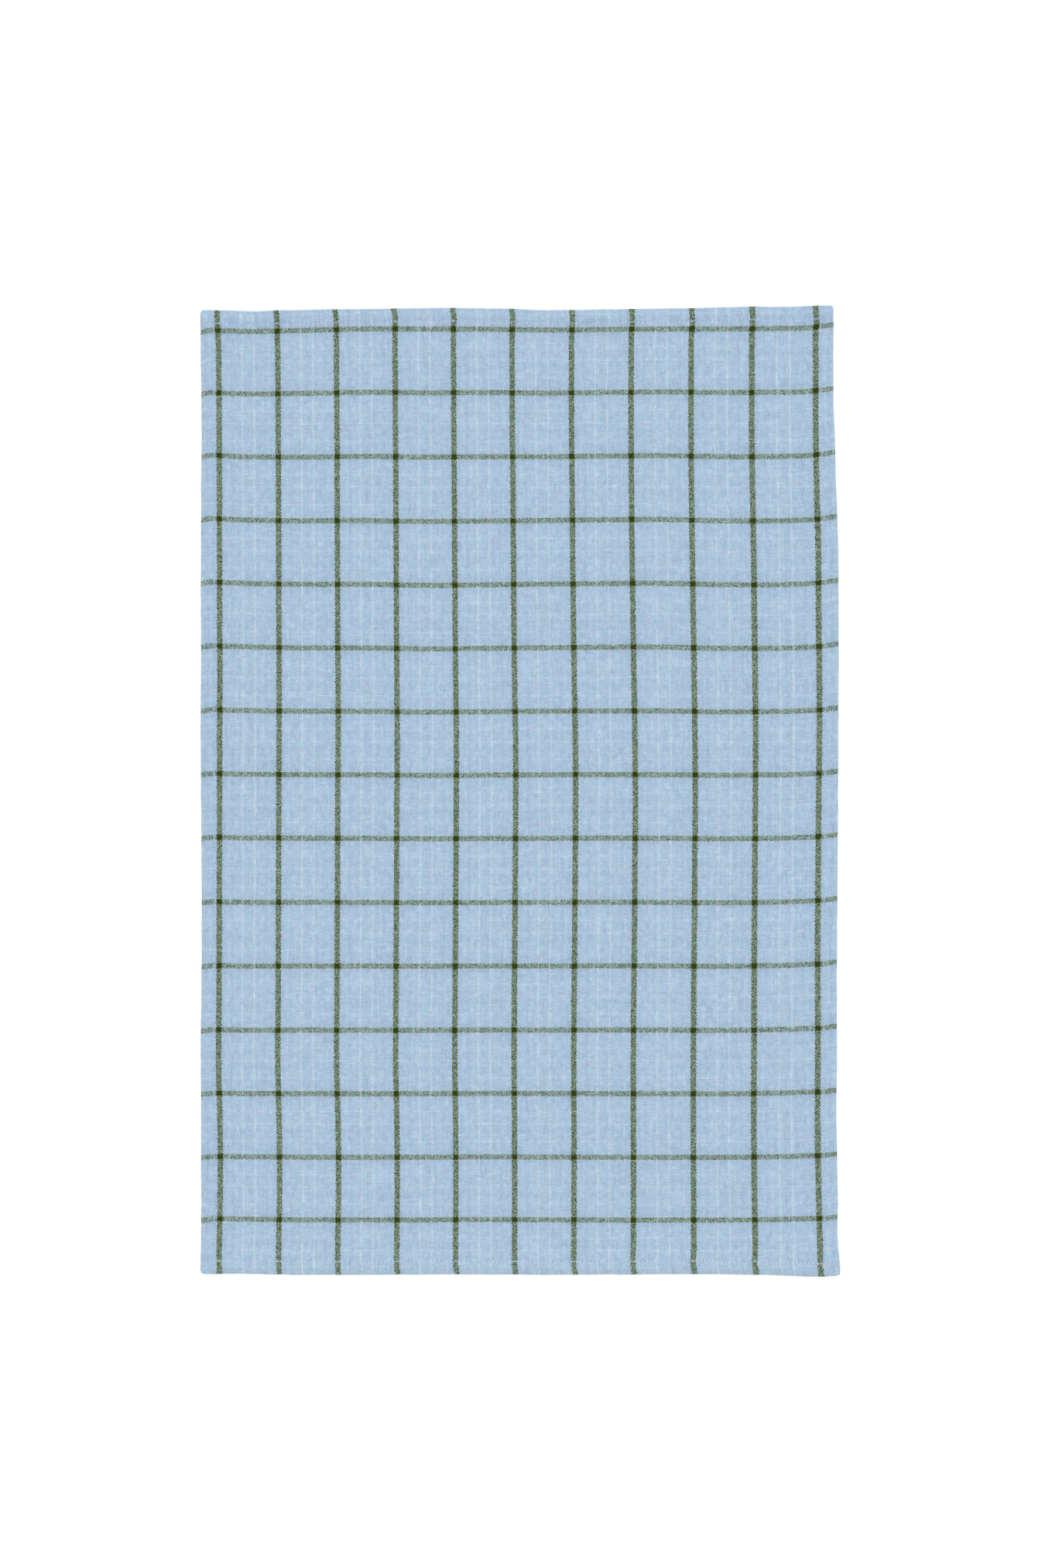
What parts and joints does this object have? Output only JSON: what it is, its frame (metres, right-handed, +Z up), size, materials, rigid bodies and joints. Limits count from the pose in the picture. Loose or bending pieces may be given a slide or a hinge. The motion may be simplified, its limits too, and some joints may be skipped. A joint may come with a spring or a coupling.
{
  "type": "tea towel",
  "caption": "Rectangular kitchen tea towel in light blue plain-woven cotton with an olive green windowpane check, hemmed on every edge and lying flat.",
  "frame": {"origin": "centre of the towel's outline, on the surface that it lies on", "axes": "+X across the towel's width, +Y along its length towards the top of the picture, +Z up out of its face"},
  "size_m": [0.4636, 0.7036, 0.0042],
  "materials": {
    "cotton": "soft matte plain weave, light blue with olive green check lines"
  },
  "bodies": {
    "root": {"tea_towel": "cotton"}
  },
  "joints": []
}
